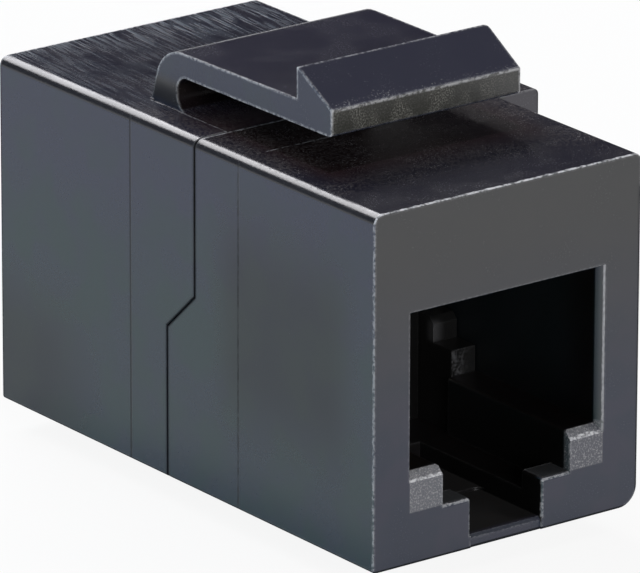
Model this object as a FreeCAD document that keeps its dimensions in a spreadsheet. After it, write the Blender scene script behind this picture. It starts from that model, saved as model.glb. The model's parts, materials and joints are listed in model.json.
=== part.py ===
import FreeCAD, Part
import math
import os
import Sketcher

# In-line keystone coupler: two plug ports back to back in a two-part moulded shell.
# Millimetres.  +Z up, +Y from the front port to the rear port, +X to the right seen from the front.
# The origin is the middle of the shell's lower front edge.

Vector = FreeCAD.Vector
document = FreeCAD.newDocument("keystone_coupler")

sizes_table = [
    ("overlap", 0.1, "how far a cut or a joined block runs past the face that it meets"),
    # shell
    ("body_width", 14.5, "width of the shell"),
    ("body_height", 16.24, "height of the shell without latch and lip"),
    ("body_length", 27.7, "front face to rear face"),
    ("top_round", 0.45, "radius of the upper left long edge"),
    ("top_edge", 0.35, "radius of the upper right long edge"),
    ("bottom_round", 0.95, "radius of the lower right long edge"),
    ("bottom_edge", 0.16, "radius of the lower left long edge"),
    ("face_round", 0.06, "radius round each end face"),
    # joint between the half shells: upper part, sloping step, lower part
    ("split_upper", 12.95, "station of the joint above the step"),
    ("split_lower", 15.0, "station of the joint below the step"),
    ("step_top", 8.97, "height where the step starts"),
    ("step_bottom", 7.08, "height where the step ends"),
    ("split_gap", 0.11, "gap between the half shells outside"),
    ("tongue_wall", 0.95, "thickness of the tongue inside the joint"),
    ("tongue_reach", 1.2, "how far the tongue enters the rear shell"),
    ("tongue_clearance", 0.04, "clearance beside the tongue"),
    # plug mouth
    ("mouth_width", 10.66, "width of the mouth at the face"),
    ("mouth_floor", 2.35, "height of the shelf"),
    ("mouth_top", 11.5, "height of the mouth's upper edge"),
    ("lead_depth", 0.43, "depth of the lead-in"),
    ("lead_inset", 0.22, "how much the lead-in narrows each side"),
    ("plug_depth", 8.7, "face to plug stop"),
    ("rail_spacing", 7.0, "gap between the two shoulder rails"),
    ("rail_top", 4.16, "height of the shoulder rails"),
    ("rail_bevel", 0.4, "bevel on the front end of a rail"),
    ("rail_round", 0.16, "radius of the rails' and the shelf's inner edges"),
    ("shelf_round", 0.2, "radius of the shelf's front edge"),
    ("notch_width", 3.9, "width of the notch for the plug's tab"),
    ("notch_setback", 0.1, "how far the notch floor stands back"),
    ("floor_thickness", 0.56, "thickness of the notch floor"),
    ("bezel_depth", 1.4, "thickness of the shelf wall"),
    ("room_floor", 1.5, "floor of the room behind the shelf"),
    ("floor_bevel", 0.14, "bevel on the notch floor's front edge"),
    ("notch_length", 4.4, "station where the notch floor steps up"),
    ("notch_step", 0.14, "height of that step"),
    ("notch_corner", 0.4, "radius of the notch's two rear corners"),
    # chamber for inserts and board
    ("lintel", 1.5, "wall above the mouth"),
    ("roof_under", 14.84, "height of the inner roof"),
    ("ledge_width", 8.4, "width of the roof recess over the solder side"),
    # ear on the right-hand side
    ("ear_out", 2.04, "how far the ear stands out"),
    ("ear_round", 0.3, "radius of the ear's upper long edge"),
    ("ear_front", 9.8, "station of the ear's front face"),
    ("ear_back", 17.8, "station of the ear's rear face"),
    ("ear_bottom", 12.2, "height of the ear's underside"),
    # latch on the rear shell
    ("latch_width", 10.6, "width of the latch at its foot"),
    ("nose_width", 10.28, "width of the latch at its nose"),
    ("latch_root", 18.8, "rear end of the latch's foot on the roof"),
    ("latch_back", 18.0, "station where the foot's slope would meet the arm's top"),
    ("slot_end", 16.9, "rear end of the slot under the arm"),
    ("arm_under", 17.77, "height of the arm's underside"),
    ("arm_top", 18.93, "height of the arm's top at the tooth"),
    ("arm_fall", 0.07, "how much lower the arm's top is at the foot"),
    ("catch_face", 8.3, "station of the tooth's upright face"),
    ("tooth_top", 20.41, "height of the tooth's edge"),
    ("nose_face", 5.85, "station of the nose"),
    ("nose_top", 19.0, "height where the nose's slope starts"),
    ("latch_sink", 0.4, "how far the latch's foot is sunk into the roof"),
    ("latch_corner", 1.96, "radius between the foot's slope and the arm's top"),
    ("latch_heel", 0.2, "radius behind the foot"),
    ("slot_corner", 0.7, "radius at the end of the slot"),
    ("tooth_corner", 0.25, "radius of the tooth's right-hand upright edge"),
    ("nose_round", 0.2, "radius under the nose"),
    ("edge_break", 0.06, "radius round the tooth's slope"),
    ("pocket_depth", 0.08, "depth of the shallow recess under and beside the arm"),
    ("pocket_width", 10.9, "width of that recess"),
    # fixed lip under the front shell
    ("lip_width", 7.6, "width of the lip"),
    ("lip_drop", 1.2, "how far the lip stands down"),
    ("lip_land", 0.85, "flat land of the lip"),
    ("lip_slope", 1.7, "length of the lip's slope"),
    # contact insert
    ("insert_clearance", 0.05, "clearance beside an insert"),
    ("cheek_step_one", 5.36, "height of the plug stop"),
    ("cheek_step_two", 6.5, "height of the second step"),
    ("cheek_second", 10.1, "station of the second step"),
    ("cheek_bevel", 0.3, "bevel on the second step"),
    ("cheek_spacing", 7.5, "gap between the two stepped cheeks"),
    ("comb_face", 11.2, "station of the comb"),
    ("comb_depth", 1.5, "depth of the comb slots"),
    ("comb_bottom", 6.3, "lower end of the comb slots"),
    ("plate_bottom", 11.34, "underside of the insert's plate"),
    ("board_under", 13.1, "underside of the board"),
    ("board_thickness", 1.0, "thickness of the board"),
    ("board_width", 10.0, "width of the board"),
    ("peg_spacing", 7.6, "spacing of the locating pegs"),
    ("peg_station", 6.0, "station of the locating pegs"),
    ("peg_diameter", 1.2, "diameter of a locating peg"),
    ("peg_clearance", 0.08, "how much wider a peg's hole is"),
    # contact wires
    ("contact_pitch", 1.02, "spacing of the contacts"),
    ("wire_diameter", 0.45, "diameter of a contact wire"),
    ("groove_width", 0.56, "width of a wire groove"),
    ("groove_end", 12.1, "station where the grooves end over the plate"),
    ("groove_return", 4.6, "station where the grooves end under the plate"),
    ("comb_slot_width", 0.62, "width of a comb slot"),
    ("run_height", 12.8, "height of the wire along the plate"),
    ("nose_radius", 0.7, "radius of the wire round the plate's nose"),
    ("nose_station", 2.6, "station of that bend's centre"),
    ("wire_slope", 25.5, "slope of the sprung stretch in degrees"),
    ("tip_station", 11.7, "station of the wire's free end"),
    ("tail_near", 9.6, "station of the tails in the near row"),
    ("tail_far", 11.4, "station of the tails in the far row"),
    ("tail_radius", 0.4, "radius of the bend below a tail"),
    ("tail_top", 14.6, "upper end of the tails"),
    ("hole_diameter", 0.75, "diameter of a tail's hole in the board"),
    ("solder_foot", 1.1, "diameter of a solder joint on the board"),
    ("solder_head", 0.6, "diameter of a solder joint at its top"),
    ("solder_height", 0.38, "height of a solder joint"),
]

contact_count = 6
# sizes that several pieces share, worked out from the sheet
plug_width = "( mouth_width - 2 * lead_inset )"
tongue_low = "room_floor - tongue_wall"
tongue_high = "( body_height + roof_under ) / 2"
turned = FreeCAD.Rotation(Vector(0, 0, 1), 180)

sheet = document.addObject("Spreadsheet::Sheet", "sizes")
for row, (alias, size, meaning) in enumerate(sizes_table, start=1):
    sheet.set("A%d" % row, alias)
    sheet.set("B%d" % row, str(size))
    sheet.set("C%d" % row, meaning)
    sheet.setAlias("B%d" % row, alias)
document.recompute()


def named(expression):
    """Put the sheet's name before each alias, so that other objects can use the expression."""
    words = expression.replace("(", " ( ").replace(")", " ) ").split()
    aliases = [alias for alias, size, meaning in sizes_table]
    return " ".join("sizes." + word if word in aliases else word for word in words)


def number(expression):
    return float(sheet.evalExpression(named(expression)))


def bind(feature, prop, expression):
    feature.setExpression(prop, named(expression))


def new_body(label):
    body = document.addObject("PartDesign::Body", label)
    body.Label = label
    return body


def new_sketch(body, name, plane, offset=None):
    """A sketch on one of the body's own origin planes, moved along its normal by offset."""
    sketch = body.newObject("Sketcher::SketchObject", name)
    support = [item for item in body.Origin.OriginFeatures if item.Role == plane][0]
    sketch.AttachmentSupport = (support, [""])
    sketch.MapMode = "FlatFace"
    if offset is not None:
        bind(sketch, "AttachmentOffset.Base.z", offset)
    return sketch


def pin_point(sketch, geometry, end, across, up):
    """Tie one end of a line to its two coordinates, given as expressions."""
    for kind, expression, axis in (("DistanceX", across, -2), ("DistanceY", up, -1)):
        size = number(expression)
        if abs(size) < 1e-9:
            sketch.addConstraint(Sketcher.Constraint("PointOnObject", geometry, end, axis))
            continue
        index = sketch.addConstraint(Sketcher.Constraint(kind, -1, 1, geometry, end, size))
        bind(sketch, "Constraints[%d]" % index, expression)


def draw_outline(sketch, corners):
    """A closed outline of straight lines through corners, each a pair of expressions."""
    points = [Vector(number(across), number(up), 0) for across, up in corners]
    count = len(points)
    for index in range(count):
        line = Part.LineSegment(points[index], points[(index + 1) % count])
        sketch.addGeometry(line, False)
    for index in range(count):
        following = (index + 1) % count
        sketch.addConstraint(Sketcher.Constraint("Coincident", index, 2, following, 1))
    for index, (across, up) in enumerate(corners):
        pin_point(sketch, index, 1, across, up)


def rectangle(low_across, high_across, low_up, high_up):
    return [(low_across, low_up), (high_across, low_up), (high_across, high_up), (low_across, high_up)]


def draw_circles(sketch, centres, diameter):
    for index, (across, up) in enumerate(centres):
        centre = Vector(number(across), number(up), 0)
        sketch.addGeometry(Part.Circle(centre, Vector(0, 0, 1), number(diameter) / 2), False)
        pin_point(sketch, index, 3, across, up)
        size = sketch.addConstraint(Sketcher.Constraint("Diameter", index, number(diameter)))
        bind(sketch, "Constraints[%d]" % size, diameter)


def slab(body, kind, name, corners, width, offset=None):
    """A side-view outline with thickness width, half to each side of its plane."""
    sketch = new_sketch(body, name + "_sketch", "YZ_Plane", offset)
    draw_outline(sketch, corners)
    feature = body.newObject("PartDesign::" + kind, name)
    feature.Profile = sketch
    feature.SideType = "Symmetric"
    bind(feature, "Length", width)
    document.recompute()
    return feature


def pad(body, name, corners, width):
    return slab(body, "Pad", name, corners, width)


def cut(body, name, corners, width, offset=None):
    before = body.Shape.Volume
    feature = slab(body, "Pocket", name, corners, width, offset)
    if feature.Shape.Volume > before - 1e-6:
        raise RuntimeError(name + " takes nothing away")
    return feature


def edges_where(feature, test):
    """Names of the edges whose middle point and direction pass the test."""
    names = []
    for index, edge in enumerate(feature.Shape.Edges, start=1):
        if edge.Length < 1e-6:
            continue
        middle = edge.valueAt((edge.FirstParameter + edge.LastParameter) / 2)
        direction = edge.Vertexes[-1].Point - edge.Vertexes[0].Point
        if direction.Length < 1e-6:
            continue
        direction.normalize()
        if test(middle, direction):
            names.append("Edge%d" % index)
    return names


def near(first, second):
    return abs(first - second) < 0.02


def dress(body, kind, name, edges, size_property, size):
    """A fillet or chamfer on the edges of the body's last feature."""
    if not edges:
        raise RuntimeError("no edges found for " + name)
    base = body.Tip
    feature = body.newObject("PartDesign::" + kind, name)
    feature.Base = (base, edges)
    bind(feature, size_property, size)
    document.recompute()
    if "Invalid" in feature.State:
        raise RuntimeError(name + " can't be made")
    return feature


def fillet(body, name, test, radius):
    return dress(body, "Fillet", name, edges_where(body.Tip, test), "Radius", radius)


def chamfer(body, name, test, size):
    return dress(body, "Chamfer", name, edges_where(body.Tip, test), "Size", size)


def half_shell(label, round_side, lower_reach, upper_reach):
    """The outside of a half shell, mouth at station 0, up to the stepped joint; round_side, 1 or -1
    along X, is the side whose lower edge has the larger radius and whose upper edge the smaller."""
    body = new_body(label)
    outline = [
        ("0", "0"),
        (lower_reach, "0"),
        (lower_reach, "step_bottom"),
        (upper_reach, "step_top"),
        (upper_reach, "body_height"),
        ("0", "body_height"),
    ]
    pad(body, label + "_block", outline, "body_width")
    half = number("body_width / 2")
    height = number("body_height")

    def long_edge(side, level):
        return lambda middle, direction: (
            near(abs(direction.y), 1) and near(middle.x, side * half) and near(middle.z, level))

    fillet(body, label + "_upper_round_edge", long_edge(-round_side, height), "top_round")
    fillet(body, label + "_upper_sharp_edge", long_edge(round_side, height), "top_edge")
    fillet(body, label + "_lower_round_edge", long_edge(round_side, 0), "bottom_round")
    fillet(body, label + "_lower_sharp_edge", long_edge(-round_side, 0), "bottom_edge")

    def face_edge(middle, direction):
        return near(middle.y, 0)

    fillet(body, label + "_face_edges", face_edge, "face_round")
    return body


def add_ear(body, label, side, start, end):
    """The stop ear on one side wall, between two stations; side is 1 or -1 along X."""
    root = "body_width / 2 - top_edge - overlap"
    sketch = new_sketch(body, label + "_ear_sketch", "YZ_Plane", root if side > 0 else "- ( %s )" % root)
    draw_outline(sketch, rectangle(start, end, "ear_bottom", "body_height"))
    feature = body.newObject("PartDesign::Pad", label + "_ear")
    feature.Profile = sketch
    feature.Reversed = side < 0
    bind(feature, "Length", "ear_out + top_edge + overlap")
    document.recompute()
    reach = number("body_width / 2 + ear_out")
    height = number("body_height")

    def outer_top(middle, direction):
        return near(abs(direction.y), 1) and near(middle.x, side * reach) and near(middle.z, height)

    fillet(body, label + "_ear_edge", outer_top, "ear_round")


def mouth_outline(width, top):
    """Front view of the mouth: the shoulder rails fill its two lower corners."""
    return [
        ("rail_spacing / 2", "mouth_floor"),
        ("rail_spacing / 2", "rail_top"),
        (width + " / 2", "rail_top"),
        (width + " / 2", top),
        ("- " + width + " / 2", top),
        ("- " + width + " / 2", "rail_top"),
        ("- rail_spacing / 2", "rail_top"),
        ("- rail_spacing / 2", "mouth_floor"),
    ]


def cut_port(body, label):
    """Everything that a plug meets in a half shell: lead-in, rails, shelf, notch and tab room."""
    outer = new_sketch(body, label + "_mouth_outer", "XZ_Plane", "0")
    draw_outline(outer, mouth_outline("mouth_width", "mouth_top"))
    inner = new_sketch(body, label + "_mouth_inner", "XZ_Plane", "- lead_depth")
    draw_outline(inner, mouth_outline(plug_width, "mouth_top - lead_inset"))
    lead = body.newObject("PartDesign::SubtractiveLoft", label + "_lead_in")
    lead.Profile = outer
    lead.Sections = [inner]
    lead.Ruled = True
    document.recompute()
    over_rails = rectangle("lead_depth", "plug_depth + overlap", "rail_top", "mouth_top - lead_inset")
    cut(body, label + "_over_rails", over_rails, plug_width)
    between_rails = rectangle("lead_depth", "plug_depth + overlap", "mouth_floor", "rail_top")
    cut(body, label + "_between_rails", between_rails, "rail_spacing")
    tab_room = rectangle("bezel_depth", "plug_depth + overlap", "room_floor", "mouth_floor")
    cut(body, label + "_tab_room", tab_room, "rail_spacing")
    rail_top = number("rail_top")
    rail_inner = number("rail_spacing / 2")
    rail_outer = number("mouth_width / 2")
    shelf = number("mouth_floor")

    def rail_front(middle, direction):
        across = rail_inner < abs(middle.x) < rail_outer
        return across and near(middle.y, 0) and near(middle.z, rail_top) and near(abs(direction.x), 1)

    def rail_inner_edge(middle, direction):
        return near(abs(middle.x), rail_inner) and near(middle.z, rail_top) and near(abs(direction.y), 1)

    def shelf_front(middle, direction):
        level = near(middle.y, 0) and near(middle.z, shelf)
        return level and abs(middle.x) < rail_inner and near(abs(direction.x), 1)

    chamfer(body, label + "_rail_bevels", rail_front, "rail_bevel")
    fillet(body, label + "_rail_edges", rail_inner_edge, "rail_round")
    fillet(body, label + "_shelf_edge", shelf_front, "shelf_round")
    cut_notch(body, label)


def cut_notch(body, label):
    """The notch through the shelf for the plug's tab, with its set-back floor."""
    notch = [
        ("- overlap", "floor_thickness"),
        ("notch_length", "floor_thickness"),
        ("notch_length", "floor_thickness + notch_step"),
        ("plug_depth", "floor_thickness + notch_step"),
        ("plug_depth", "mouth_floor"),
        ("- overlap", "mouth_floor"),
    ]
    cut(body, label + "_notch", notch, "notch_width")
    half_notch = number("notch_width / 2")
    notch_end = number("notch_length")
    shelf = number("mouth_floor")

    def rear_corner(middle, direction):
        return near(abs(middle.x), half_notch) and near(middle.y, notch_end) and near(abs(direction.z), 1)

    def upper_edge(middle, direction):
        return near(abs(middle.x), half_notch) and near(middle.z, shelf) and near(abs(direction.y), 1)

    fillet(body, label + "_notch_corners", rear_corner, "notch_corner")
    fillet(body, label + "_notch_edges", upper_edge, "rail_round")
    setback = [
        ("- overlap", "- overlap"),
        ("notch_setback", "- overlap"),
        ("notch_setback", "floor_thickness - floor_bevel"),
        ("notch_setback + floor_bevel", "floor_thickness"),
        ("notch_setback + floor_bevel", "floor_thickness + overlap"),
        ("- overlap", "floor_thickness + overlap"),
    ]
    cut(body, label + "_floor_setback", setback, "notch_width")


def cut_chamber(body, label, reach):
    """The chamber behind the lintel and the plug stop that takes the insert and the board."""
    chamber = [
        ("lintel", "mouth_top - lead_inset - overlap"),
        ("plug_depth", "mouth_top - lead_inset - overlap"),
        ("plug_depth", "room_floor"),
        (reach, "room_floor"),
        (reach, "board_under + board_thickness"),
        ("lintel", "board_under + board_thickness"),
    ]
    cut(body, label + "_chamber", chamber, "mouth_width - 2 * lead_inset")
    recess = rectangle("lintel", reach, "board_under + board_thickness - overlap", "roof_under")
    cut(body, label + "_solder_recess", recess, "ledge_width")


def build_front_housing():
    label = "front_housing"
    lower = "( split_lower - split_gap / 2 )"
    upper = "( split_upper - split_gap / 2 )"
    body = half_shell(label, 1, lower, upper)
    add_ear(body, label, 1, "ear_front", upper)
    beyond = " + split_gap + tongue_reach"
    tongue = [
        ("plug_depth", tongue_low),
        (lower + beyond, tongue_low),
        (lower + beyond, "step_bottom"),
        (upper + beyond, "step_top"),
        (upper + beyond, tongue_high),
        ("plug_depth", tongue_high),
    ]
    pad(body, label + "_tongue", tongue, plug_width + " + 2 * tongue_wall")
    lip = [
        ("catch_face - lip_land - lip_slope", "0"),
        ("catch_face - lip_land", "- lip_drop"),
        ("catch_face", "- lip_drop"),
        ("catch_face", "floor_thickness / 2"),
        ("catch_face - lip_land - lip_slope", "floor_thickness / 2"),
    ]
    pad(body, label + "_lip", lip, "lip_width")
    cut_port(body, label)
    cut_chamber(body, label, "body_length")
    return body


def build_rear_housing():
    """Modelled mouth first, like the front shell, then turned round and moved to the rear."""
    label = "rear_housing"
    lower = "( body_length - split_lower - split_gap / 2 )"
    upper = "( body_length - split_upper - split_gap / 2 )"
    body = half_shell(label, -1, lower, upper)
    add_ear(body, label, -1, "body_length - ear_back", upper)
    add_latch(body, label, upper)
    cut_port(body, label)
    cut_chamber(body, label, "body_length")
    seat = [
        (lower + " - tongue_reach", tongue_low + " - tongue_clearance"),
        ("body_length", tongue_low + " - tongue_clearance"),
        ("body_length", tongue_high + " + tongue_clearance"),
        (upper + " - tongue_reach", tongue_high + " + tongue_clearance"),
        (upper + " - tongue_reach", "step_top"),
        (lower + " - tongue_reach", "step_bottom"),
    ]
    cut(body, label + "_tongue_seat", seat, plug_width + " + 2 * tongue_wall + 2 * tongue_clearance")
    turn_round(body)
    return body


def turn_round(body):
    body.Placement = FreeCAD.Placement(Vector(0, number("body_length"), 0), turned)
    bind(body, "Placement.Base.y", "body_length")


def add_latch(body, label, upper):
    """Foot, arm and tooth of the latch, with the shallow recess round its foot and under its arm."""
    root = "body_length - latch_root"
    slot = "body_length - slot_end"
    catch = "body_length - catch_face"
    nose = "body_length - nose_face"
    back = "body_length - latch_back"
    arm_rear_top = "arm_top - arm_fall"
    roof = "body_height - pocket_depth"
    recess = rectangle(root + " + 2 * overlap", upper + " + overlap", roof, "body_height + overlap")
    cut(body, label + "_arm_recess", recess, "pocket_width")
    outline = [
        (root, "body_height - latch_sink"),
        (slot, "body_height - latch_sink"),
        (slot, "arm_under"),
        (nose, "arm_under"),
        (nose, "nose_top"),
        (catch, "tooth_top"),
        (catch, "arm_top"),
        (back, arm_rear_top),
        (root, "body_height"),
    ]
    pad(body, label + "_latch", outline, "latch_width")

    def crossing(station, height):
        spot = (number(station), number(height))

        def test(middle, direction):
            level = near(middle.y, spot[0]) and near(middle.z, spot[1])
            return level and near(abs(direction.x), 1) and abs(middle.x) < 0.1

        return test

    fillet(body, label + "_foot_corner", crossing(back, arm_rear_top), "latch_corner")
    fillet(body, label + "_foot_heel", crossing(root, "body_height"), "latch_heel")
    fillet(body, label + "_slot_roof", crossing(slot, "arm_under"), "slot_corner")
    fillet(body, label + "_slot_floor", crossing(slot, roof), "slot_corner")
    taper_latch(body, label, slot + " + slot_corner + overlap", nose)
    fillet(body, label + "_nose_edge", crossing(nose, "arm_under"), "nose_round")
    catch_station = number(catch)
    slope_foot = number("nose_top")

    def tooth_upright(middle, direction):
        return near(middle.y, catch_station) and near(abs(direction.z), 1) and middle.x < 0

    def slope_edge(middle, direction):
        return middle.z > slope_foot - 0.02 and abs(direction.z) < 0.99

    fillet(body, label + "_tooth_upright", tooth_upright, "tooth_corner")
    fillet(body, label + "_slope_edges", slope_edge, "edge_break")


def taper_latch(body, label, start, nose):
    """Narrow the arm from start to its nose by a wedge on each side."""
    for side, name in (("", "right"), ("- ", "left")):
        sketch = new_sketch(body, "%s_%s_wedge_sketch" % (label, name), "XY_Plane", "tooth_top + overlap")
        draw_outline(sketch, [
            (side + "latch_width / 2", start),
            (side + "( latch_width / 2 + overlap )", nose + " + overlap"),
            (side + "nose_width / 2", nose + " + overlap"),
        ])
        wedge = body.newObject("PartDesign::Pocket", "%s_%s_wedge" % (label, name))
        wedge.Profile = sketch
        bind(wedge, "Length", "tooth_top - arm_under + 2 * overlap")
        document.recompute()


def contact_place(index):
    """Place of a contact across the port, and the row of its tail."""
    across = "( %s * contact_pitch )" % (index - (contact_count - 1) / 2)
    return across, "tail_near" if index % 2 == 0 else "tail_far"


def draw_groove(sketch):
    """Outline of a wire groove: over the plate, round its nose and a little way back under it."""
    core_top = "run_height - wire_diameter / 2"
    core_low = "run_height - 2 * nose_radius + wire_diameter / 2"
    corners = [
        ("nose_station", core_top),
        ("groove_end", core_top),
        ("groove_end", "board_under + overlap"),
        ("lintel - overlap", "board_under + overlap"),
        ("lintel - overlap", "plate_bottom - overlap"),
        ("groove_return", "plate_bottom - overlap"),
        ("groove_return", core_low),
        ("nose_station", core_low),
    ]
    points = [Vector(number(across), number(up), 0) for across, up in corners]
    for start, end in zip(points, points[1:]):
        sketch.addGeometry(Part.LineSegment(start, end), False)
    lines = len(points) - 1
    for index in range(lines - 1):
        sketch.addConstraint(Sketcher.Constraint("Coincident", index, 2, index + 1, 1))
    for index, (across, up) in enumerate(corners[:-1]):
        pin_point(sketch, index, 1, across, up)
    pin_point(sketch, lines - 1, 2, *corners[-1])
    inner = number("nose_radius - wire_diameter / 2")
    front = Vector(points[0].x - inner, (points[0].y + points[-1].y) / 2, 0)
    arc = sketch.addGeometry(Part.Arc(points[0], front, points[-1]), False)
    sketch.addConstraint(Sketcher.Constraint("Coincident", arc, 1, 0, 1))
    sketch.addConstraint(Sketcher.Constraint("Coincident", arc, 2, lines - 1, 2))
    centre = sketch.addConstraint(Sketcher.Constraint("DistanceX", -1, 1, arc, 3, points[0].x))
    bind(sketch, "Constraints[%d]" % centre, "nose_station")


def repeat_across(body, feature, name):
    """Repeat a cut once for each contact, from the first contact's place along X."""
    pattern = body.newObject("PartDesign::LinearPattern", name)
    pattern.Originals = [feature]
    axis = [item for item in body.Origin.OriginFeatures if item.Role == "X_Axis"][0]
    pattern.Direction = (axis, [""])
    pattern.Occurrences = contact_count
    bind(pattern, "Length", "%d * contact_pitch" % (contact_count - 1))
    body.Tip = pattern
    document.recompute()


def build_insert(label):
    """Contact block: grooved plate over the plug, comb behind it and stepped plug stops."""
    body = new_body(label)
    width = plug_width + " - 2 * insert_clearance"
    back = rectangle("comb_face", "body_length / 2", "room_floor", "board_under")
    pad(body, label + "_block", back, width)
    plate = rectangle("lintel + insert_clearance", "comb_face + overlap", "plate_bottom", "board_under")
    pad(body, label + "_plate", plate, width)
    cheeks = [
        ("plug_depth + insert_clearance", "room_floor"),
        ("comb_face + overlap", "room_floor"),
        ("comb_face + overlap", "cheek_step_two"),
        ("cheek_second + cheek_bevel", "cheek_step_two"),
        ("cheek_second", "cheek_step_two - cheek_bevel"),
        ("cheek_second", "cheek_step_one"),
        ("plug_depth + insert_clearance", "cheek_step_one"),
    ]
    pad(body, label + "_cheeks", cheeks, width)
    between = rectangle("plug_depth", "comb_face", "room_floor - overlap", "cheek_step_two + overlap")
    cut(body, label + "_between_cheeks", between, "cheek_spacing")
    first = contact_place(0)[0]
    slot = rectangle("comb_face - overlap", "comb_face + comb_depth", "comb_bottom", "plate_bottom")
    slots = cut(body, label + "_comb_slot", slot, "comb_slot_width", first)
    repeat_across(body, slots, label + "_comb_slots")
    sketch = new_sketch(body, label + "_groove_sketch", "YZ_Plane", first)
    draw_groove(sketch)
    groove = body.newObject("PartDesign::Pocket", label + "_groove")
    groove.Profile = sketch
    groove.SideType = "Symmetric"
    bind(groove, "Length", "groove_width")
    document.recompute()
    repeat_across(body, groove, label + "_grooves")
    pegs = new_sketch(body, label + "_peg_sketch", "XY_Plane", "board_under")
    places = [("peg_spacing / 2", "peg_station"), ("- peg_spacing / 2", "peg_station")]
    draw_circles(pegs, places, "peg_diameter")
    feature = body.newObject("PartDesign::Pad", label + "_pegs")
    feature.Profile = pegs
    bind(feature, "Length", "board_thickness")
    document.recompute()
    return body


def board_places():
    """Tail holes of the front port, then the same turned round for the rear port."""
    front = [contact_place(index) for index in range(contact_count)]
    rear = [("- " + across, "body_length - " + along) for across, along in front]
    return front + rear


def build_board():
    body = new_body("circuit_board")
    sketch = new_sketch(body, "board_sketch", "XY_Plane", "board_under")
    margin = "lintel + overlap"
    end = "body_length - lintel - overlap"
    draw_outline(sketch, rectangle("- board_width / 2", "board_width / 2", margin, end))
    plate = body.newObject("PartDesign::Pad", "board_plate")
    plate.Profile = sketch
    bind(plate, "Length", "board_thickness")
    document.recompute()
    pegs = [
        (side + "peg_spacing / 2", station)
        for side in ("", "- ")
        for station in ("peg_station", "body_length - peg_station")
    ]
    for name, places, diameter in (
        ("tail_holes", board_places(), "hole_diameter"),
        ("peg_holes", pegs, "peg_diameter + peg_clearance"),
    ):
        holes = new_sketch(body, name + "_sketch", "XY_Plane", "board_under")
        draw_circles(holes, places, diameter)
        drilled = body.newObject("PartDesign::Pocket", name)
        drilled.Profile = holes
        drilled.Reversed = True
        bind(drilled, "Length", "board_thickness")
        before = plate.Shape.Volume
        document.recompute()
        if drilled.Shape.Volume > before - 1e-6:
            raise RuntimeError(name + " takes nothing away")
    return body


def build_contact(label, index):
    """A sprung wire: tail up through the board, run along the plate, bend and sloping spring."""
    across, tail = contact_place(index)
    body = new_body(label)
    centre_up = number("run_height - nose_radius")
    nose = number("nose_station")
    run = number("run_height")
    radius = number("nose_radius")
    bend = number("tail_radius")
    foot = number(tail)
    slope = FreeCAD.Rotation(Vector(0, 0, 1), -number("wire_slope"))
    along = slope.multVec(Vector(1, 0, 0))
    leave = Vector(nose, centre_up, 0) + slope.multVec(Vector(0, -radius, 0))
    tip = leave + along * ((number("tip_station") - leave.x) / along.x)
    top = Vector(foot, number("tail_top"), 0)
    bend_start = Vector(foot, run + bend, 0)
    bend_middle = Vector(foot - bend, run + bend, 0) + Vector(0.7071, -0.7071, 0) * bend
    bend_end = Vector(foot - bend, run, 0)
    path = new_sketch(body, label + "_path", "YZ_Plane")
    path.addGeometry(Part.LineSegment(top, bend_start), False)
    path.addGeometry(Part.Arc(bend_start, bend_middle, bend_end), False)
    path.addGeometry(Part.LineSegment(bend_end, Vector(nose, run, 0)), False)
    path.addGeometry(Part.Arc(Vector(nose, run, 0), Vector(nose - radius, centre_up, 0), leave), False)
    path.addGeometry(Part.LineSegment(leave, tip), False)
    # a Part.Arc drawn clockwise starts at its last point, so the ends are matched by place
    tie_path(path)
    pin_point(path, 0, 1, tail, "tail_top")
    path.addConstraint(Sketcher.Constraint("Vertical", 0))
    path.addConstraint(Sketcher.Constraint("Horizontal", 2))
    for geometry, radius_name in ((1, "tail_radius"), (3, "nose_radius")):
        size = path.addConstraint(Sketcher.Constraint("Radius", geometry, number(radius_name)))
        bind(path, "Constraints[%d]" % size, radius_name)
    height = path.addConstraint(Sketcher.Constraint("DistanceY", -1, 1, 2, 1, run))
    bind(path, "Constraints[%d]" % height, "run_height")
    station = path.addConstraint(Sketcher.Constraint("DistanceX", -1, 1, 3, 3, nose))
    bind(path, "Constraints[%d]" % station, "nose_station")
    reach = path.addConstraint(Sketcher.Constraint("DistanceX", -1, 1, 4, 2, tip.x))
    bind(path, "Constraints[%d]" % reach, "tip_station")
    angle = math.radians(-number("wire_slope"))
    incline = path.addConstraint(Sketcher.Constraint("Angle", 4, angle))
    bind(path, "Constraints[%d]" % incline, "- wire_slope")
    profile = new_sketch(body, label + "_profile", "XY_Plane", "tail_top")
    draw_circles(profile, [("0", tail)], "wire_diameter")
    wire = body.newObject("PartDesign::AdditivePipe", label + "_wire")
    wire.Profile = profile
    wire.Spine = (path, ["Edge%d" % number_of for number_of in range(1, 6)])
    document.recompute()
    return body, across


def tie_path(path):
    """Join the pieces of a path end to end and make each meeting tangent."""
    for index in range(path.GeometryCount - 1):
        best = None
        for end in (1, 2):
            for start in (1, 2):
                apart = path.getPoint(index, end).distanceToPoint(path.getPoint(index + 1, start))
                if best is None or apart < best[0]:
                    best = (apart, end, start)
        path.addConstraint(Sketcher.Constraint("Tangent", index, best[1], index + 1, best[2]))


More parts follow.
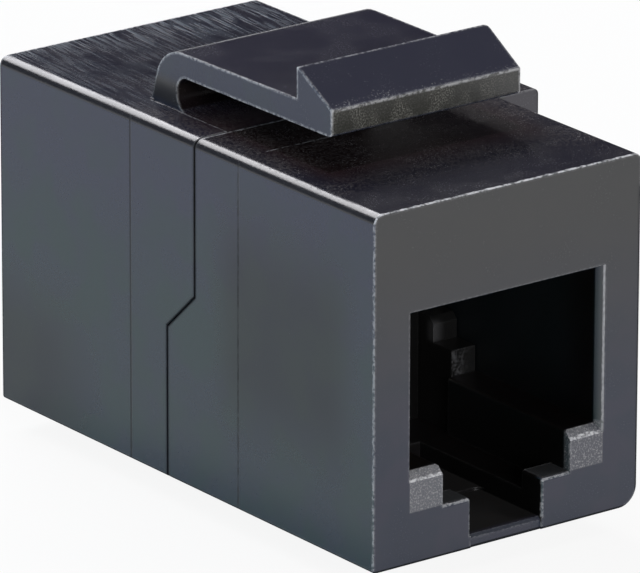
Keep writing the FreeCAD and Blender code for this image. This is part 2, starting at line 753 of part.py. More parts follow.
def build_solder():
    """A cone of solder round each tail, with the tail's own hole through it."""
    joints = []
    for index, (across, along) in enumerate(board_places(), start=1):
        cone = document.addObject("Part::Cone", "solder_cone_%d" % index)
        bore = document.addObject("Part::Cylinder", "solder_bore_%d" % index)
        bind(cone, "Radius1", "solder_foot / 2")
        bind(cone, "Radius2", "solder_head / 2")
        bind(bore, "Radius", "wire_diameter / 2")
        for shape in (cone, bore):
            bind(shape, "Height", "solder_height")
            bind(shape, "Placement.Base.x", across)
            bind(shape, "Placement.Base.y", along)
            bind(shape, "Placement.Base.z", "board_under + board_thickness")
        joint = document.addObject("Part::Cut", "solder_joint_%d" % index)
        joint.Base = cone
        joint.Tool = bore
        joints.append(joint)
    group = document.addObject("Part::Compound", "solder_joints")
    group.Links = joints
    group.Label = "solder_joints"
    document.recompute()
    return group


def build_contacts():
    contacts = []
    for index in range(contact_count):
        body, across = build_contact("front_contact_%d" % (index + 1), index)
        bind(body, "Placement.Base.x", across)
        contacts.append(body)
    for index in range(contact_count):
        body, across = build_contact("rear_contact_%d" % (index + 1), index)
        turn_round(body)
        bind(body, "Placement.Base.x", "- " + across)
        contacts.append(body)
    return contacts


def check(parts):
    """Stop before anything is written if an object failed or a sub-part has no sound shape."""
    for item in document.Objects:
        if "Invalid" in item.State or "Error" in item.State:
            raise RuntimeError("%s failed: %s" % (item.Label, item.State))
    for part in parts:
        if part.Shape.isNull() or not part.Shape.isValid() or not part.Shape.Solids:
            raise RuntimeError(part.Label + " has no valid solid")


front_housing = build_front_housing()
rear_housing = build_rear_housing()
front_insert = build_insert("front_insert")
rear_insert = build_insert("rear_insert")
turn_round(rear_insert)
circuit_board = build_board()
solder_joints = build_solder()
parts = [front_housing, rear_housing, front_insert, rear_insert, circuit_board, solder_joints]
parts += build_contacts()
document.recompute()
check(parts)

os.makedirs("parts", exist_ok=True)
for part in parts:
    part.Shape.exportStep("parts/%s.step" % part.Label)
    box = part.Shape.optimalBoundingBox(False, False)
    print("%-18s %8.2f mm3  %6.2f x %6.2f x %6.2f" % (
        part.Label, part.Shape.Volume, box.XLength, box.YLength, box.ZLength))
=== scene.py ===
import json
import math
from types import SimpleNamespace

import bpy
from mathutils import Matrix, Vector


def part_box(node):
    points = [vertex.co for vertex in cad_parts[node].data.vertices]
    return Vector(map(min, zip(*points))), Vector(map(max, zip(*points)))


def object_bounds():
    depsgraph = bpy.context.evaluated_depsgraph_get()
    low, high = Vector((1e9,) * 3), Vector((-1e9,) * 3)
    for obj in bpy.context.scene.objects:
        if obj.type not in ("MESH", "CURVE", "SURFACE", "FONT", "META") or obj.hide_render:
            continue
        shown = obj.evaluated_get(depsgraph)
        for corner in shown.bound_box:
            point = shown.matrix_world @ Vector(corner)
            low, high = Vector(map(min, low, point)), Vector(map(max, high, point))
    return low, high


# Keystone coupler in black moulded plastic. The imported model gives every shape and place.
# Stations, heights and sizes of grain are in millimetres of the frame.

millimetre = 0.001

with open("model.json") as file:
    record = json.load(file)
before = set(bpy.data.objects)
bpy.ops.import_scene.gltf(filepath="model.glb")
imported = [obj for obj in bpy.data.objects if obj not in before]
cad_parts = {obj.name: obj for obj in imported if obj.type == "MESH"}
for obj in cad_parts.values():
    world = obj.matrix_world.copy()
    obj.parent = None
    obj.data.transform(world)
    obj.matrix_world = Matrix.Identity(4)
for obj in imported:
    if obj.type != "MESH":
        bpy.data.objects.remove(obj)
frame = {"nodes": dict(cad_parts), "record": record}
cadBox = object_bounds()
nodes = frame["nodes"]
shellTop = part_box("front_housing")[1]
print("frame loaded:", len(nodes), "nodes")


# node helpers: inputs take plain values or sockets of other nodes

def newMaterial(name):
    material = bpy.data.materials.new(name)
    material.use_nodes = True
    material.node_tree.nodes.clear()
    return material, material.node_tree


def addNode(tree, kind, inputs=None, **settings):
    node = tree.nodes.new(kind)
    for key, value in settings.items():
        setattr(node, key, value)
    for key, value in (inputs or {}).items():
        if isinstance(value, bpy.types.NodeSocket):
            tree.links.new(value, node.inputs[key])
        else:
            node.inputs[key].default_value = value
    return node


def calc(tree, operation, first, second=0.0):
    return addNode(tree, "ShaderNodeMath", {0: first, 1: second}, operation=operation).outputs[0]


def fold(tree, operation, values):
    result = values[0]
    for value in values[1:]:
        result = calc(tree, operation, result, value)
    return result


def product(tree, *values):
    return fold(tree, "MULTIPLY", values)


def total(tree, *values):
    return fold(tree, "ADD", values)


def strongest(tree, *values):
    return fold(tree, "MAXIMUM", values)


def magnitude(tree, value):
    return calc(tree, "ABSOLUTE", value)


def opposite(tree, mask):
    return calc(tree, "SUBTRACT", 1.0, mask)


def capped(tree, value):
    return calc(tree, "MINIMUM", value, 1.0)


def ramp(tree, value, low, high, start=0.0, end=1.0):    # smooth step from start to end
    node = addNode(tree, "ShaderNodeMapRange", {
        "Value": value, "From Min": low, "From Max": high, "To Min": start, "To Max": end})
    node.interpolation_type = "SMOOTHSTEP"
    return node.outputs["Result"]


def drop(tree, value, low, high):    # 1 below low, 0 above high
    return ramp(tree, value, low, high, 1.0, 0.0)


def within(tree, value, low, high, fade):    # 1 between low and high, 0 outside
    rise = ramp(tree, value, low - fade, low + fade)
    return product(tree, rise, drop(tree, value, high - fade, high + fade))


def scaled(tree, mask, start, end):    # start where the mask is 0, end where it is 1
    return ramp(tree, mask, 0.0, 1.0, start, end)


def blendColour(tree, factor, first, second):
    node = addNode(tree, "ShaderNodeMix", data_type="RGBA")
    for index, value in ((0, factor), (6, first), (7, second)):
        if isinstance(value, bpy.types.NodeSocket):
            tree.links.new(value, node.inputs[index])
        else:
            node.inputs[index].default_value = value if index == 0 else (*value, 1.0)
    return node.outputs[2]


def blendValue(tree, factor, first, second):
    node = addNode(tree, "ShaderNodeMix", {0: factor, 2: first, 3: second}, data_type="FLOAT")
    return node.outputs[0]


def millimetrePlace(tree):    # object coordinates in millimetres
    place = addNode(tree, "ShaderNodeTexCoord").outputs["Object"]
    inputs = {0: place, "Scale": 1 / millimetre}
    return addNode(tree, "ShaderNodeVectorMath", inputs, operation="SCALE").outputs[0]


def axes(tree, vector):
    node = addNode(tree, "ShaderNodeSeparateXYZ", {0: vector})
    return node.outputs[0], node.outputs[1], node.outputs[2]


def cloud(tree, place, grain, detail=3.0, stretch=(1, 1, 1), turn=0.0):    # noise with a grain of that size
    if turn:
        rotation = (0, 0, math.radians(turn))
        place = addNode(tree, "ShaderNodeMapping", {"Vector": place, "Rotation": rotation}).outputs[0]
    scale = [share / grain for share in stretch]
    place = addNode(tree, "ShaderNodeMapping", {"Vector": place, "Scale": scale}).outputs[0]
    inputs = {"Vector": place, "Scale": 1.0, "Detail": detail}
    return addNode(tree, "ShaderNodeTexNoise", inputs).outputs["Fac"]


def blotches(tree, place, grain, detail, levels, shares=(0.0, 1.0), **shape):    # noise with more contrast
    return ramp(tree, cloud(tree, place, grain, detail, **shape), *levels, *shares)


def specks(tree, place, grain, amount):    # irregular grains; amount 0 gives none, 1 covers about half
    noneAbove, perAmount, softness = 0.78, 0.27, 0.06
    level = calc(tree, "SUBTRACT", noneAbove, calc(tree, "MULTIPLY", amount, perAmount))
    over = calc(tree, "SUBTRACT", cloud(tree, place, grain, 4.0), level)
    return ramp(tree, over, 0.0, softness)


def rubbedEdges(tree, width, samples, share=1.0):    # bevelled normal, and a mask of the outward edges
    cornerDepth, flatDepth = 0.60, 0.86
    radius = product(tree, width * millimetre, share)
    bevel = addNode(tree, "ShaderNodeBevel", {"Radius": radius}, samples=samples)
    distance = 2 * width * millimetre
    depth = addNode(tree, "ShaderNodeAmbientOcclusion", {"Distance": distance}, samples=samples)
    depth.inside = True
    depth.only_local = True
    return bevel.outputs[0], drop(tree, depth.outputs["AO"], cornerDepth, flatDepth)


def finish(tree, settings):    # principled shader with constants on its own sockets
    shader = addNode(tree, "ShaderNodeBsdfPrincipled", settings)
    addNode(tree, "ShaderNodeOutputMaterial", {"Surface": shader.outputs[0]})


def bump(tree, height, depth, normal=None):    # depth in millimetres for a height of 1
    inputs = {"Height": height, "Distance": depth * millimetre, "Strength": 1.0}
    if normal is not None:
        inputs["Normal"] = normal
    return addNode(tree, "ShaderNodeBump", inputs).outputs[0]


# housing: one finish for both half shells

housing = {
    # colours
    "slate": (0.0045, 0.0265, 0.0330),       # cooler patches of the moulded plastic
    "violet": (0.0110, 0.0195, 0.0460),      # warmer patches
    "endLight": (0.0270, 0.0290, 0.0480),       # painted light on the end faces
    "endLightTop": (0.0400, 0.0395, 0.0365),       # painted light on the upper part of the end faces, warmer
    "ear": (0.0520, 0.0490, 0.0580),         # painted light on the end face of the side ear
    "upwardShade": (0.0155, 0.0145, 0.0300),        # painted shade on the upward faces
    "frontRoofShade": (0.0095, 0.0090, 0.0185),    # painted shade on the front shell's roof, under the latch
    "rolledEdgeSheen": (0.0200, 0.0200, 0.0240),      # painted reflection tone on the rolled edge between side and roof
    "slopeLight": (0.0340, 0.0345, 0.0520),   # painted light on the sloping face of the latch's tooth
    "heel": (0.0300, 0.0300, 0.0330),        # lower part of the latch's foot
    "sideShade": (0.0015, 0.0060, 0.0090),    # painted shade on rougher parts of the side walls
    "streakBase": (0.0010, 0.0010, 0.0130),  # between the streaks on the rear roof
    "streak": (0.0900, 0.1120, 0.1400),
    "noseBase": (0.0190, 0.0190, 0.0150),    # dull front of the latch's nose
    "noseGrit": (0.1900, 0.1850, 0.1650),
    "dust": (0.1150, 0.1020, 0.1000),        # fine dust on the roof
    "dusk": (0.0290, 0.0140, 0.0120),        # the roof's shade under the latch
    "slotShade": (0.0060, 0.0030, 0.0030),    # painted shade inside the slot under the latch's arm
    "leadIn": (0.1150, 0.1150, 0.1150),      # painted light on the mouth's lead-in
    "shelf": (0.0420, 0.0440, 0.0470),
    "portShade": (0.0020, 0.0012, 0.0006),    # painted shade inside the port
    "line": (0.0008, 0.0024, 0.0055),        # dark joint lines, and painted shade along the foot and the outer upright edges
    "seamDark": (0.0010, 0.0010, 0.0020),    # thin mould lines on the sides
    "pale": (0.240, 0.240, 0.250),           # grit and scratches
    "chalkAndGlint": (0.62, 0.62, 0.64),             # rubbed edges, and painted highlights along the latch's edges
    # gloss and relief
    "roughness": 0.17,
    "bumpDepth": 0.004,
    "streakTurn": 4.0,                       # degrees off the shell's length
    "edgeWidth": 0.07,
    "edgeSamples": 4,
    "rimDepth": 0.10,                        # rubbed rim round each end face
    # sizes of grain
    "patchGrain": 2.2,
    "surfaceGrain": 0.075,
    "fineStreak": 0.11,
    "broadStreak": 0.20,
    "streakCover": 2.0,
    "driftGrain": 1.5,
    "gritGrain": 0.080,
    "coarseGrain": 0.14,
    "noseGrain": 0.075,
    "noseCluster": 1.0,
    "dustGrain": 0.12,
    "seamBreaks": 0.30,
    "rimGrain": 0.20,
    "chipGrain": 0.17,
    "railGrain": 0.13,
    # shares: 0 is none
    "streakShares": (0.65, 0.40),            # fine, broad
    "streakPolish": (0.70, 1.9),             # near the joint, at the far corner
    "gritEverywhere": 0.14,
    "gritLatch": -0.08,
    "gritFrontRoof": (0.34, 0.20),           # even, in drifts
    "gritSlope": 0.30,
    "gritLowSlope": 0.55,
    "gritRail": 0.75,
    "coarseRail": (-0.1, 0.8),               # elsewhere, on the rail ends
    "dustEverywhere": 0.12,
    "dustDrift": 0.16,
    "dustUnderNose": 0.75,
    "dustRight": 0.3,
    "dustBesideLatch": (0.6, 1.4),
    "seamShare": (0.35, 0.35),               # even, broken
    "railDust": (0.36, 0.24),                # left rail, right rail
    "crispWidth": 0.15,                      # share of the edge's width left where it stays crisp
    "edgeWear": 0.3,
    "latchGlint": 0.6,
    "portWear": 0.1,
    "floorRim": 0.18,
    "shelfEdgeRim": 0.6,
    "farEdgeWear": 0.6,
    "noseRimGlint": 0.5,
    "evenRim": 0.9,
    "evenChips": 0.85,
    "cornerShade": 0.8,
    # how squarely a face looks along an axis; 1 is fully, -1 the other way
    "facing": (0.80, 0.95),
    "noseFacing": (-0.95, -0.85),
    "slopeFacing": (0.40, 0.90),
    "slopeForward": (-0.4, -0.3),
    "floorFacing": (0.2, 0.4),
    "rolledFacing": (0.12, 0.92),
    "underFacing": (-0.4, -0.2),
    "endFacing": (0.90, 0.98),
    # stations along the shell
    "bodyLength": 27.7,
    "jointStation": 12.95,
    "stepHigh": (12.95, 8.97),               # upper end of the joint's sloping step: station, height
    "stepLow": (15.0, 7.08),
    "stepLineWidth": 0.18,
    "jointStations": (9.5, 15.5),
    "armStations": (5.8, 17.2),
    "noseBack": (6.0, 6.2),
    "shadeStart": (3.2, 6.2),
    "shadeEnd": (17.2, 18.2),
    "underNose": (2.6, 4.9),
    "besideLatch": (6.0, 7.5),
    "dustEnd": (16.0, 19.0),
    "streakStart": (13.95, 18.95),
    "polishStations": (24.0, 27.2),
    "dullStations": (2.0, 11.0),
    "dullRear": (19.0, 25.0),
    # heights
    "noseTop": 19.0,
    "mouthHeight": (0.3, 11.6),
    "shelfHeight": (2.2, 2.5),
    "shelfEdgeHeight": (1.6, 2.5),
    "railHeight": (2.36, 4.3),
    "plainRimStart": (4.2, 4.4),
    "floorHeight": (0.9, 1.0),
    "footHeight": (0.10, 0.16),
    "footShadeHeight": (0.09, 0.13),
    "jointTop": (16.08, 16.2),
    "cornerShadeTop": (14.5, 15.0),
    "warmHeight": (8.0, 16.0),
    "endLightHeight": (4.0, 15.0),
    "dullHeight": (4.5, 13.0),
    "dullRearTop": (3.0, 8.0),
    # heights above the roof
    "roofBand": (-0.3, 0.1),
    "latchStart": (0.9, 1.1),
    "filletStart": (-0.75, -0.6),
    "heelBand": (0.02, 1.2),
    "slotBand": (-0.05, 1.54),
    # distances from the middle
    "mouthSide": (5.35, 5.50),
    "leadInSide": (4.9, 5.0),
    "notchSide": (2.2, 2.4),
    "railSides": (3.48, 5.3),
    "slotSide": (5.2, 5.4),
    "shadeSide": (5.0, 6.8),
    "latchSide": (5.5, 6.2),
    "jointSide": (6.72, 6.84),
    "wallSide": (7.1, 7.2),                  # outer walls only, not the mouth's own walls
    "farEdgeSide": (6.85, 7.0),
    "cornerSide": (7.11, 7.14),
    "earSide": (7.3, 7.5),
    "seamSide": (4.6, 5.6),
    "frontSeamEnd": (5.6, 5.8),
    # from left to right
    "noseGritSpan": (1.0, 5.0),
    "noseDullSpan": (-1.0, 5.0),
    "railDustSpan": (-1.0, 1.0),
    "rightDustSpan": (4.5, 6.5),
    # depths from an end face
    "railDepth": (0.4, 0.5),
    "shelfDepth": (1.4, 1.6),
    "leadInDepth": (0.05, 0.50),
    "portShadeDepth": (0.20, 0.60),
    # mould lines: station and width
    "frontSideSeam": (9.75, 0.09),
    "rearSideSeam": (17.74, 0.08),
    "frontRoofSeam": (9.75, 0.06),
    "jointRoofSeam": (12.84, 0.09),
    "alongRoofSeam": (-5.45, 0.07),          # runs along the rear roof, so its place is across
    "alongRoofEnds": (13.6, 18.6),
}
hard, soft = 0.03, 0.05    # how gently a mask's border fades, in millimetres


def aboveRoof(pair):
    return [shellTop.z / millimetre + height for height in pair]


def readPlaces(tree, look):    # coordinates, and masks of the housing's faces
    at = SimpleNamespace(place=millimetrePlace(tree))
    at.x, at.y, at.z = axes(tree, at.place)
    at.facing = axes(tree, addNode(tree, "ShaderNodeNewGeometry").outputs["Normal"])
    at.upward = ramp(tree, at.facing[2], *look["facing"])
    at.sideways = ramp(tree, magnitude(tree, at.facing[0]), *look["facing"])
    at.endways = ramp(tree, magnitude(tree, at.facing[1]), *look["facing"])
    at.across = magnitude(tree, at.x)
    at.fromEnd = calc(tree, "MINIMUM", at.y, calc(tree, "SUBTRACT", look["bodyLength"], at.y))
    at.roof = product(tree, at.upward, within(tree, at.z, *aboveRoof(look["roofBand"]), soft))
    joint = look["jointStation"]
    at.frontRoof = product(tree, at.roof, drop(tree, at.y, joint - 0.1, joint))
    at.outerWall = product(tree, at.sideways, ramp(tree, at.across, *look["wallSide"]))
    at.latch = ramp(tree, at.z, *aboveRoof(look["latchStart"]))
    at.nose = product(
        tree, at.latch, drop(tree, at.facing[1], *look["noseFacing"]), drop(tree, at.y, *look["noseBack"]))
    at.slope = product(
        tree, at.latch, within(tree, at.facing[2], *look["slopeFacing"], hard),
        drop(tree, at.facing[1], *look["slopeForward"]))
    at.railEnd = product(
        tree, drop(tree, at.fromEnd, *look["railDepth"]), within(tree, at.z, *look["railHeight"], hard),
        within(tree, at.across, *look["railSides"], hard))
    return at


def addStreaks(tree, look, at):    # brushed along the top of the rear shell
    turn = look["streakTurn"]
    at.streakZone = product(tree, at.roof, ramp(tree, at.y, *look["streakStart"]))
    fine = blotches(
        tree, at.place, look["fineStreak"], 1.0, (0.45, 0.66), stretch=(1, 0.055, 1), turn=turn)
    broad = blotches(
        tree, at.place, look["broadStreak"], 1.0, (0.48, 0.74), stretch=(1, 0.070, 1), turn=turn)
    cover = blotches(tree, at.place, look["streakCover"], 2.0, (0.34, 0.62), (0.85, 1.0))
    towardsCorner = total(tree, product(tree, at.x, 0.25), at.y)
    polish = ramp(tree, towardsCorner, *look["polishStations"], *look["streakPolish"])
    fineShare, broadShare = look["streakShares"]
    both = total(tree, product(tree, fine, fineShare), product(tree, broad, broadShare))
    at.streaks = product(tree, both, cover, polish, at.streakZone)


def addGrit(tree, look, at):    # a little everywhere, more on the front roof, the nose and the rail ends
    drift = blotches(tree, at.place, look["driftGrain"], 2.0, (0.42, 0.66))
    top = look["noseTop"]
    lowSlope = product(tree, at.slope, drop(tree, at.z, top + 0.05, top + 0.40))
    evenRoof, driftRoof = look["gritFrontRoof"]
    fineAmount = total(
        tree, look["gritEverywhere"], product(tree, at.latch, look["gritLatch"]),
        product(tree, at.frontRoof, total(tree, evenRoof, product(tree, drift, driftRoof))),
        product(tree, at.slope, drift, look["gritSlope"]), product(tree, lowSlope, look["gritLowSlope"]),
        product(tree, at.railEnd, look["gritRail"]))
    elsewhere, onRail = look["coarseRail"]
    coarseAmount = total(tree, elsewhere, product(tree, at.railEnd, onRail))
    at.grit = strongest(
        tree, specks(tree, at.place, look["gritGrain"], fineAmount),
        specks(tree, at.place, look["coarseGrain"], coarseAmount))
    clusters = blotches(
        tree, at.place, look["noseCluster"], 2.0, (0.40, 0.62), (0.20, 1.0), stretch=(1, 1, 0.6))
    at.noseGrit = product(
        tree, at.nose, blotches(tree, at.place, look["noseGrain"], 4.0, (0.42, 0.68)), clusters,
        ramp(tree, at.x, *look["noseGritSpan"], 1.0, 0.5))
    underNose = product(tree, within(tree, at.y, *look["underNose"], 0.8), look["dustUnderNose"])
    rightSide = ramp(tree, at.x, *look["rightDustSpan"], 0.0, look["dustRight"])
    besideLatch = product(
        tree, ramp(tree, at.y, *look["besideLatch"]),
        ramp(tree, at.across, *look["latchSide"], *look["dustBesideLatch"]))
    dustAmount = total(
        tree, look["dustEverywhere"], product(tree, drift, look["dustDrift"]), underNose, rightSide,
        besideLatch)
    at.dust = product(
        tree, at.roof, drop(tree, at.y, *look["dustEnd"]),
        blotches(tree, at.place, look["dustGrain"], 3.0, (0.38, 0.70)), dustAmount)


def seam(tree, coordinate, station, width):
    away = magnitude(tree, calc(tree, "SUBTRACT", coordinate, station))
    return drop(tree, away, width / 2, width)


def addSeams(tree, look, at):    # thin lines left by the mould's inserts
    broken = blotches(tree, at.place, look["seamBreaks"], 3.0, (0.36, 0.60))
    even, uneven = look["seamShare"]
    frontSide = product(
        tree, seam(tree, at.y, *look["frontSideSeam"]), total(tree, even, product(tree, broken, uneven)))
    rearSide = product(tree, seam(tree, at.y, *look["rearSideSeam"]), 0.8)
    at.sideSeams = product(tree, at.outerWall, total(tree, frontSide, rearSide))
    frontRoof = product(
        tree, seam(tree, at.y, *look["frontRoofSeam"]), drop(tree, at.across, *look["frontSeamEnd"]))
    alongRoof = product(
        tree, seam(tree, at.x, *look["alongRoofSeam"]),
        within(tree, at.y, *look["alongRoofEnds"], 0.2), 0.8)
    jointRoof = product(tree, seam(tree, at.y, *look["jointRoofSeam"]), 1.4)
    at.roofSeams = product(
        tree, at.roof, broken, ramp(tree, at.across, *look["seamSide"], 0.55, 1.0),
        total(tree, frontRoof, alongRoof, jointRoof))


def addPort(tree, look, at):    # the port, with painted shade from just behind its lead-in
    at.mouth = product(
        tree, drop(tree, at.across, *look["mouthSide"]), within(tree, at.z, *look["mouthHeight"], soft))
    at.shelf = product(
        tree, at.upward, within(tree, at.z, *look["shelfHeight"], hard),
        drop(tree, at.fromEnd, *look["shelfDepth"]), at.mouth)
    notchWall = product(tree, at.sideways, drop(tree, at.across, *look["notchSide"]))
    at.inner = product(
        tree, at.mouth, strongest(tree, ramp(tree, at.fromEnd, *look["portShadeDepth"]), notchWall),
        opposite(tree, product(tree, at.shelf, 0.9)))
    at.leadIn = product(
        tree, at.mouth, drop(tree, at.fromEnd, *look["leadInDepth"]), at.sideways,
        ramp(tree, at.across, *look["leadInSide"]))
    at.notchFloor = product(
        tree, drop(tree, at.z, *look["floorHeight"]), ramp(tree, at.facing[2], *look["floorFacing"]))


def addWear(tree, look, at):    # rubbed edges, painted highlights along the latch and the nose's top edge, and the rim round each end face
    at.sideJoint = product(
        tree, ramp(tree, at.across, *look["jointSide"]), within(tree, at.y, *look["jointStations"], 0.2),
        drop(tree, at.z, *look["jointTop"]))
    foot = drop(tree, at.z, *look["footHeight"])
    worn = opposite(tree, strongest(tree, at.sideJoint, foot))    # the side joint and the foot stay crisp
    at.rounded, at.edge = rubbedEdges(
        tree, look["edgeWidth"], look["edgeSamples"], scaled(tree, worn, look["crispWidth"], 1.0))
    rubs = product(
        tree, at.edge, total(tree, look["edgeWear"], product(tree, at.latch, look["latchGlint"])), worn,
        scaled(tree, at.inner, 1.0, look["portWear"]))
    plainRim = product(    # the mouth's upright edges are rubbed evenly
        tree, at.mouth, at.sideways, ramp(tree, at.z, *look["plainRimStart"]))
    raggedness = blendValue(tree, plainRim, cloud(tree, at.place, look["rimGrain"]), 0.40)
    reach = calc(tree, "SUBTRACT", at.fromEnd, product(tree, raggedness, look["rimDepth"] * 2))
    offFace = drop(tree, magnitude(tree, at.facing[1]), *look["endFacing"])
    notUnder = ramp(tree, at.facing[2], *look["underFacing"])
    rimShare = blendValue(tree, plainRim, ramp(tree, at.facing[2], 0.1, 0.4, 0.35, 1.0), look["evenRim"])
    shelfEdge = product(
        tree, at.mouth, within(tree, at.z, *look["shelfEdgeHeight"], soft), look["shelfEdgeRim"])
    rim = product(
        tree, drop(tree, reach, -0.02, 0.03), offFace, notUnder, rimShare,
        scaled(tree, at.notchFloor, 1.0, look["floorRim"]), opposite(tree, shelfEdge))
    farEdge = product(tree, at.streakZone, ramp(tree, at.x, *look["farEdgeSide"]), look["farEdgeWear"])
    top = look["noseTop"]
    noseRim = product(tree, at.nose, ramp(tree, at.z, top - 0.16, top - 0.06), look["noseRimGlint"])
    chips = blotches(tree, at.place, look["chipGrain"], 4.0, (0.36, 0.60), (0.15, 1.0))
    at.wear = product(
        tree, strongest(tree, rubs, total(tree, noseRim, farEdge), rim),
        blendValue(tree, plainRim, chips, look["evenChips"]))


def addLines(tree, look, at):    # dark lines along the joint, and painted shade along the foot and the outer upright edges
    jointLine = product(tree, at.edge, at.sideJoint)
    high, low = Vector(look["stepHigh"]), Vector(look["stepLow"])
    square = Vector((high.y - low.y, low.x - high.x)).normalized()    # at right angles to the sloping step
    offStep = total(tree, product(tree, at.y, square.x), product(tree, at.z, square.y), -square.dot(high))
    halfLine = look["stepLineWidth"] / 2
    stepLine = product(
        tree, at.outerWall, within(tree, offStep, -halfLine, halfLine, 0.02),
        within(tree, at.z, low.y, high.y, hard))
    rear = look["bodyLength"]
    rearCorner = product(tree, at.sideways, ramp(tree, at.y, rear - 0.15, rear - 0.10))
    frontCorner = product(
        tree, at.endways, ramp(tree, at.x, *look["cornerSide"]), drop(tree, at.z, *look["cornerShadeTop"]))
    cornerShade = product(tree, strongest(tree, rearCorner, frontCorner), look["cornerShade"])
    # the joint lines are real; the foot line and the corner lines are painted shade
    at.line = strongest(tree, jointLine, stepLine, drop(tree, at.z, *look["footShadeHeight"]), cornerShade)


def addPatches(tree, look, at):    # soft changes of tone over whole faces, with painted shade on the roof under the latch, in the slot and on the side walls, and a painted reflection tone on the rolled edge
    at.patches = blotches(tree, at.place, look["patchGrain"], 2.0, (0.38, 0.62))
    warmAbove = ramp(tree, at.z, *look["warmHeight"], 0.0, 0.8)
    at.warm = capped(tree, total(tree, product(tree, at.patches, 0.5), warmAbove))
    at.rolled = product(
        tree, ramp(tree, at.z, *aboveRoof(look["filletStart"])),
        within(tree, at.facing[2], *look["rolledFacing"], 0.04), scaled(tree, at.latch, 1.0, 0.0))
    at.heel = product(tree, at.sideways, within(tree, at.z, *aboveRoof(look["heelBand"]), 0.3))
    at.shaded = product(
        tree, at.roof, ramp(tree, at.y, *look["shadeStart"]), drop(tree, at.y, *look["shadeEnd"]),
        drop(tree, at.across, *look["shadeSide"]))
    at.slot = product(
        tree, within(tree, at.z, *aboveRoof(look["slotBand"]), hard),
        within(tree, at.y, *look["armStations"], soft), opposite(tree, at.sideways),
        drop(tree, at.across, *look["slotSide"]))
    frontMiddle = product(
        tree, within(tree, at.y, *look["dullStations"], 1.5), within(tree, at.z, *look["dullHeight"], 2.5))
    rearLow = product(tree, ramp(tree, at.y, *look["dullRear"]), drop(tree, at.z, *look["dullRearTop"]))
    # rougher parts of the side walls, also carrying painted shade
    at.dull = product(tree, at.sideways, total(tree, frontMiddle, rearLow))


def housingColour(tree, look, at):    # slate plastic, then one layer after another: mask, colour, strength
    railDust = product(tree, at.railEnd, ramp(tree, at.x, *look["railDustSpan"], *look["railDust"]))
    endLightShare = ramp(tree, at.z, *look["endLightHeight"], 0.05, 0.85)
    layers = (
        (at.warm, "violet", 1),
        # painted shade on the upward faces
        (ramp(tree, at.facing[2], 0.5, 0.8), "upwardShade", 1),
        # painted shade on the front roof
        (at.frontRoof, "frontRoofShade", 1),
        # painted light on the end faces, more towards the top
        (product(tree, at.endways, scaled(tree, at.patches, 1.0, 0.75)), "endLight", 1),
        (product(tree, at.endways, endLightShare), "endLightTop", 1),
        # painted light on the tooth's slope
        (at.slope, "slopeLight", 1),
        # painted reflection tone on the rolled edge
        (at.rolled, "rolledEdgeSheen", 1),
        # painted light on the ear's end face
        (product(tree, at.endways, ramp(tree, at.across, *look["earSide"])), "ear", 1),
        (at.heel, "heel", 1),
        # painted light on the lead-in
        (at.leadIn, "leadIn", 1),
        (at.shelf, "shelf", 1),
        (at.shaded, "dusk", 0.7),
        # painted shade in the slot under the arm
        (at.slot, "slotShade", 0.85),
        # painted shade inside the port
        (at.inner, "portShade", 0.95),
        (at.streakZone, "streakBase", 0.9),
        (at.streaks, "streak", 0.6),
        (product(tree, at.nose, ramp(tree, at.x, *look["noseDullSpan"], 0.90, 0.2)), "noseBase", 1),
        (at.noseGrit, "noseGrit", 0.64),
        (at.dust, "dust", 0.40),
        # painted shade on the side walls
        (at.dull, "sideShade", 0.62),
        (capped(tree, total(tree, product(tree, at.grit, 0.6), railDust)), "pale", 1),
        # rubbed edges, partly painted highlights
        (capped(tree, total(tree, at.wear, product(tree, at.roofSeams, 0.35))), "chalkAndGlint", 1),
        (at.sideSeams, "seamDark", 0.95),
        # dark joint lines, with painted shade at the foot and the outer upright edges
        (at.line, "line", 1),
    )
    colour = look["slate"]
    for mask, tint, strength in layers:
        share = mask if strength == 1 else product(tree, mask, strength)
        colour = blendColour(tree, share, colour, look[tint])
    return colour


def housingPlastic():
    look = housing
    material, tree = newMaterial("housingPlastic")
    at = readPlaces(tree, look)
    for addMasks in (addStreaks, addGrit, addSeams, addPort, addWear, addLines, addPatches):
        addMasks(tree, look, at)
    grain = cloud(tree, at.place, look["surfaceGrain"], 2.0)
    railGrain = product(tree, at.railEnd, cloud(tree, at.place, look["railGrain"]))
    rougher = (    # masks and how much they add
        (grain, 0.10), (at.patches, 0.04), (at.wear, 0.2), (at.streaks, 0.06), (at.inner, 0.10),
        (at.dull, 0.14), (at.line, 0.7), (at.notchFloor, 0.45), (at.leadIn, 0.25), (at.sideSeams, 0.35))
    raised = (
        (grain, 0.35), (at.streaks, 1.0), (at.grit, 1.6), (at.noseGrit, 1.2), (railGrain, 9.0),
        (at.sideSeams, -1.5), (at.roofSeams, 3.0))
    roughness = total(tree, look["roughness"], *(product(tree, mask, amount) for mask, amount in rougher))
    height = total(tree, *(product(tree, mask, amount) for mask, amount in raised))
    finish(tree, {
        "Base Color": housingColour(tree, look, at), "Roughness": roughness, "Specular IOR Level": 0.5,
        "IOR": 1.5, "Normal": bump(tree, height, look["bumpDepth"], at.rounded)})
    return material


# contact inserts: stepped blocks behind the port

insert = {
    "black": (0.003, 0.003, 0.003),
    "grey": (0.005, 0.005, 0.005),
    "deepShade": (0.0015, 0.0015, 0.0015),        # painted shade far inside, past the plug
    # pale grey of the painted light on the stops and the ledge
    "dust": (0.085, 0.085, 0.090),
    "deepStation": (10.9, 11.1),
    "stopStation": (8.80, 8.85),
    "stopAcross": (3.75, 4.85),
    "ledgeAcross": (3.75, 4.45),
    "ledgeStation": (9.7, 10.5),
    "ledgeHeight": (5.4, 6.3),
    "roughness": 0.26,
    "edgeWidth": 0.05,
    "edgeSamples": 3,
}


